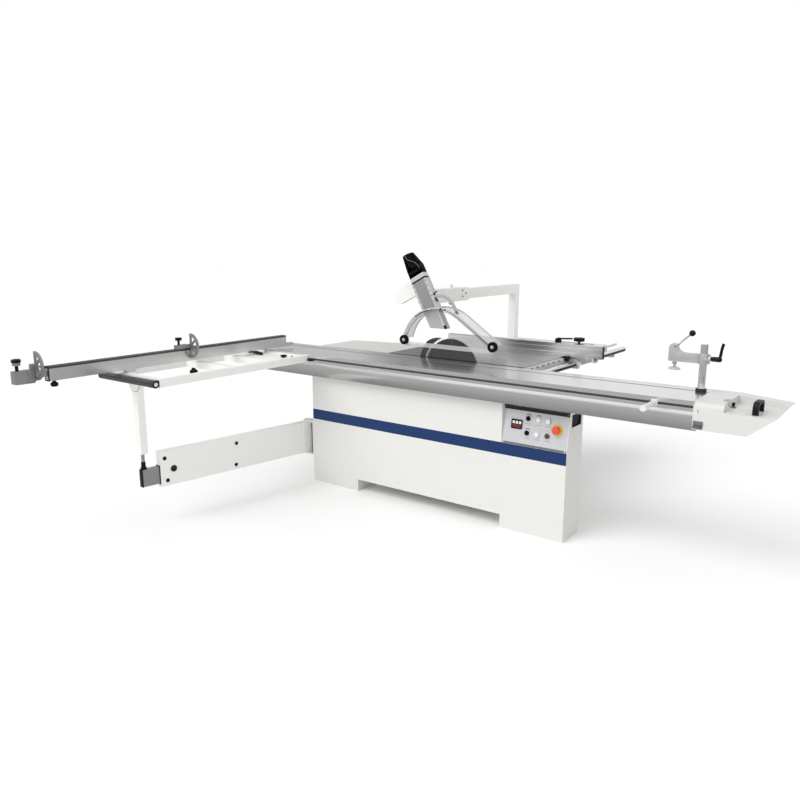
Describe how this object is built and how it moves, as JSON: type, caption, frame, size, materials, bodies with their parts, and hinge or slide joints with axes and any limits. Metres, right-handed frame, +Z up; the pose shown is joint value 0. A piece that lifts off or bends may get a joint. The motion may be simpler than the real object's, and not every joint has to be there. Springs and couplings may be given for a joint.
{
  "type": "sliding table saw",
  "caption": "Floor-standing sliding table saw: boxed base, long sliding carriage with outrigger and crosscut fence, rip fence on a round bar, overhead guard and a tilting blade.",
  "frame": {"origin": "on the floor under the saw axis, in the middle of the four anchor holes", "axes": "+X along the sliding carriage towards its covered end, +Y from the outrigger to the rip side, +Z up"},
  "size_m": [3.568, 3.627, 1.5702],
  "materials": {
    "white_paint": "fine textured powder coat",
    "light_paint": "satin powder coat",
    "cast_iron": "ground and oiled",
    "aluminium": "satin anodised",
    "cast_aluminium": "die cast",
    "chrome": "polished",
    "steel": "ground",
    "hood_metal": "silver paint",
    "black_plastic": "moulded",
    "panel_grey": "smooth grey paint",
    "black_rubber": "matt",
    "clear_guard": "clear polycarbonate",
    "motor_grey": "painted, ribbed",
    "white_plastic": "moulded",
    "switch_red": "moulded"
  },
  "bodies": {
    "machine_base": {"base_shell": "white_paint", "base_feet": "white_paint", "rear_cabinet": "white_paint", "main_table": "cast_iron", "outfeed_table": "light_paint", "side_table": "light_paint", "guide_beam": "aluminium", "rail_bar": "chrome", "scale_rail": "white_paint", "control_panel": "panel_grey", "display_unit": "black_plastic", "guard_stand": "white_paint", "trunnions": "cast_iron"},
    "tilt_unit": {"tilt_frame": "cast_iron"},
    "lift_unit": {"lift_slide": "cast_iron", "riving_knife": "steel", "motor": "motor_grey", "drive_belt": "black_rubber"},
    "arbor_unit": {"arbor": "steel", "saw_blade": "steel"},
    "motor_shaft": {"motor_pulley": "steel"},
    "scoring_unit": {"scoring_blade": "steel"},
    "guard_carrier": {"guard_sleeve": "white_paint"},
    "guard_hood": {"hood": "hood_metal", "hood_reducer": "black_rubber", "arch_guard": "clear_guard"},
    "guard_wheel_front": {"wheel_front": "black_rubber"},
    "guard_wheel_rear": {"wheel_rear": "black_rubber"},
    "carriage": {"sliding_table": "aluminium", "end_cover": "white_plastic", "cover_handle": "black_plastic", "push_bar": "white_paint", "clamp_column": "chrome", "outrigger_frame": "white_paint", "support_post": "white_paint"},
    "carriage_lock": {"lock_button": "black_plastic"},
    "clamp_head": {"clamp_arm": "cast_aluminium"},
    "clamp_cam": {"clamp_lever": "black_plastic"},
    "clamp_ram": {"clamp_plunger": "steel"},
    "clamp_grip": {"clamp_handle": "black_plastic"},
    "outrigger_roller": {"end_roller": "aluminium"},
    "outrigger_knob": {"frame_knob": "black_plastic"},
    "fence_unit": {"crosscut_fence": "aluminium"},
    "extension_unit": {"fence_extension": "cast_aluminium"},
    "extension_flip": {"end_flip": "cast_aluminium"},
    "stop_unit": {"stop_block": "cast_aluminium"},
    "stop_plate": {"flip_stop": "cast_aluminium"},
    "stop_clamp": {"stop_knob": "black_plastic"},
    "rip_slide_unit": {"rip_carrier": "cast_aluminium"},
    "rip_fence_unit": {"rip_fence": "aluminium"},
    "rip_cam": {"rip_lever": "black_plastic"},
    "rip_adjuster": {"rip_knob": "black_plastic"},
    "arm_unit": {"swing_arm": "white_paint"},
    "arm_ram": {"arm_slide": "steel"},
    "switch_unit": {"main_switch": "switch_red"},
    "mode_unit": {"mode_selector": "black_plastic"},
    "axis_unit": {"axis_selector": "black_plastic"},
    "start_unit": {"start_button": "white_plastic"},
    "stop_unit_button": {"stop_button": "white_plastic"},
    "key_unit": {"key_switch": "steel"}
  },
  "joints": [
    {"name": "blade_tilt", "type": "hinge", "parent": "machine_base", "child": "tilt_unit", "pos_m": [0, 0, 0.9], "axis": [-1, 0, 0], "range_deg": [0, 45]},
    {"name": "blade_lift", "type": "slide", "parent": "tilt_unit", "child": "lift_unit", "axis": [0, 0, 1], "range_m": [-0.142, 0]},
    {"name": "blade_spin", "type": "hinge", "parent": "lift_unit", "child": "arbor_unit", "pos_m": [0, 0, 0.838], "axis": [0, 1, 0], "continuous": true},
    {"name": "motor_spin", "type": "hinge", "parent": "lift_unit", "child": "motor_shaft", "pos_m": [-0.17, 0.15, 0.69], "axis": [0, 1, 0], "continuous": true},
    {"name": "scoring_spin", "type": "hinge", "parent": "tilt_unit", "child": "scoring_unit", "pos_m": [0.264, 0, 0.852], "axis": [0, 1, 0], "continuous": true},
    {"name": "guard_reach", "type": "slide", "parent": "machine_base", "child": "guard_carrier", "axis": [0, 1, 0], "range_m": [0, 0.25]},
    {"name": "guard_lift", "type": "slide", "parent": "guard_carrier", "child": "guard_hood", "axis": [-0.4695, 0, 0.8829], "range_m": [-0.06, 0.06]},
    {"name": "wheel_front_spin", "type": "hinge", "parent": "guard_hood", "child": "guard_wheel_front", "pos_m": [0.329, -0.063, 1.0145], "axis": [0, 1, 0], "continuous": true},
    {"name": "wheel_rear_spin", "type": "hinge", "parent": "guard_hood", "child": "guard_wheel_rear", "pos_m": [-0.327, -0.063, 1.01], "axis": [0, 1, 0], "continuous": true},
    {"name": "carriage_slide", "type": "slide", "parent": "machine_base", "child": "carriage", "axis": [1, 0, 0], "range_m": [-1.4, 1.4]},
    {"name": "lock_press", "type": "slide", "parent": "carriage", "child": "carriage_lock", "axis": [0, 0, -1], "range_m": [0, 0.006], "stiffness_N_per_m": 300},
    {"name": "clamp_swing", "type": "hinge", "parent": "carriage", "child": "clamp_head", "pos_m": [1.548, -0.116, 1.06], "axis": [0, 0, 1], "range_deg": [0, 90]},
    {"name": "clamp_lever_turn", "type": "hinge", "parent": "clamp_head", "child": "clamp_cam", "pos_m": [1.41, -0.116, 1.117], "axis": [0, 1, 0], "range_deg": [-60, 30]},
    {"name": "clamp_press", "type": "slide", "parent": "clamp_head", "child": "clamp_ram", "axis": [0, 0, -1], "range_m": [-0.0106, 0.0054]},
    {"name": "clamp_handle_turn", "type": "hinge", "parent": "clamp_head", "child": "clamp_grip", "pos_m": [1.59, -0.116, 1.0645], "axis": [1, 0, 0], "range_deg": [-60, 60]},
    {"name": "roller_spin", "type": "hinge", "parent": "carriage", "child": "outrigger_roller", "pos_m": [-1.14, -1.56, 0.8735], "axis": [1, 0, 0], "continuous": true},
    {"name": "frame_knob_turn", "type": "hinge", "parent": "carriage", "child": "outrigger_knob", "pos_m": [-1.31028, -0.9806, 0.83], "axis": [0, 0, 1], "range_deg": [-180, 180]},
    {"name": "fence_swivel", "type": "hinge", "parent": "carriage", "child": "fence_unit", "pos_m": [-1.245, -0.40772, 0.9035], "axis": [0, 0, 1], "range_deg": [-45, 45]},
    {"name": "extension_slide", "type": "slide", "parent": "fence_unit", "child": "extension_unit", "axis": [0, -1, 0], "range_m": [0, 0.5]},
    {"name": "extension_flip_turn", "type": "hinge", "parent": "extension_unit", "child": "extension_flip", "pos_m": [-1.233, -2.0257, 1.003], "axis": [0, -1, 0], "range_deg": [0, 95]},
    {"name": "stop_slide", "type": "slide", "parent": "fence_unit", "child": "stop_unit", "axis": [0, 1, 0], "range_m": [-0.7, 0.7]},
    {"name": "stop_flip_turn", "type": "hinge", "parent": "stop_unit", "child": "stop_plate", "pos_m": [-1.233, -1.0587, 1.003], "axis": [0, -1, 0], "range_deg": [0, 95]},
    {"name": "stop_knob_turn", "type": "hinge", "parent": "stop_unit", "child": "stop_clamp", "pos_m": [-1.245, -1.13, 1.03], "axis": [0, 0, 1], "range_deg": [-180, 180]},
    {"name": "rip_slide", "type": "slide", "parent": "machine_base", "child": "rip_slide_unit", "axis": [0, 1, 0], "range_m": [-0.48, 0.58]},
    {"name": "rip_fence_slide", "type": "slide", "parent": "rip_slide_unit", "child": "rip_fence_unit", "axis": [1, 0, 0], "range_m": [-0.15, 0.1]},
    {"name": "rip_lever_turn", "type": "hinge", "parent": "rip_slide_unit", "child": "rip_cam", "pos_m": [0.418, 0.6553, 0.9933], "axis": [0, 1, 0], "range_deg": [-80, 0]},
    {"name": "rip_knob_turn", "type": "hinge", "parent": "rip_slide_unit", "child": "rip_adjuster", "pos_m": [0.565, 0.6553, 0.985], "axis": [0, 0, 1], "range_deg": [-180, 180]},
    {"name": "arm_swing", "type": "hinge", "parent": "machine_base", "child": "arm_unit", "pos_m": [-1.01, -0.27, 0.3], "axis": [0, 0, 1], "range_deg": [-46, 46]},
    {"name": "arm_extend", "type": "slide", "parent": "arm_unit", "child": "arm_ram", "axis": [-0.1478, -0.989, 0], "range_m": [0, 0.6]},
    {"name": "main_switch_turn", "type": "hinge", "parent": "machine_base", "child": "switch_unit", "pos_m": [0.8665, -0.2771, 0.62862], "axis": [0, 0.9882, -0.153], "range_deg": [0, 90]},
    {"name": "mode_turn", "type": "hinge", "parent": "machine_base", "child": "mode_unit", "pos_m": [0.6885, -0.27098, 0.66815], "axis": [0, 0.9882, -0.153], "range_deg": [-45, 45]},
    {"name": "axis_turn", "type": "hinge", "parent": "machine_base", "child": "axis_unit", "pos_m": [0.6885, -0.28337, 0.58811], "axis": [0, 0.9882, -0.153], "range_deg": [-45, 45]},
    {"name": "key_turn", "type": "hinge", "parent": "machine_base", "child": "key_unit", "pos_m": [0.8105, -0.28337, 0.58811], "axis": [0, 0.9882, -0.153], "range_deg": [0, 90]},
    {"name": "start_press", "type": "slide", "parent": "machine_base", "child": "start_unit", "axis": [0, 0.9882, -0.153], "range_m": [0, 0.004], "stiffness_N_per_m": 400},
    {"name": "stop_press", "type": "slide", "parent": "machine_base", "child": "stop_unit_button", "axis": [0, 0.9882, -0.153], "range_m": [0, 0.004], "stiffness_N_per_m": 400}
  ],
  "couplings": [
    {"joint": "motor_spin", "follows": "blade_spin", "ratio": 0.7},
    {"joint": "clamp_press", "follows": "clamp_lever_turn", "m_per_rad": 0.01},
    {"joint": "arm_swing", "follows": "carriage_slide", "rad_per_m": 0.561}
  ]
}
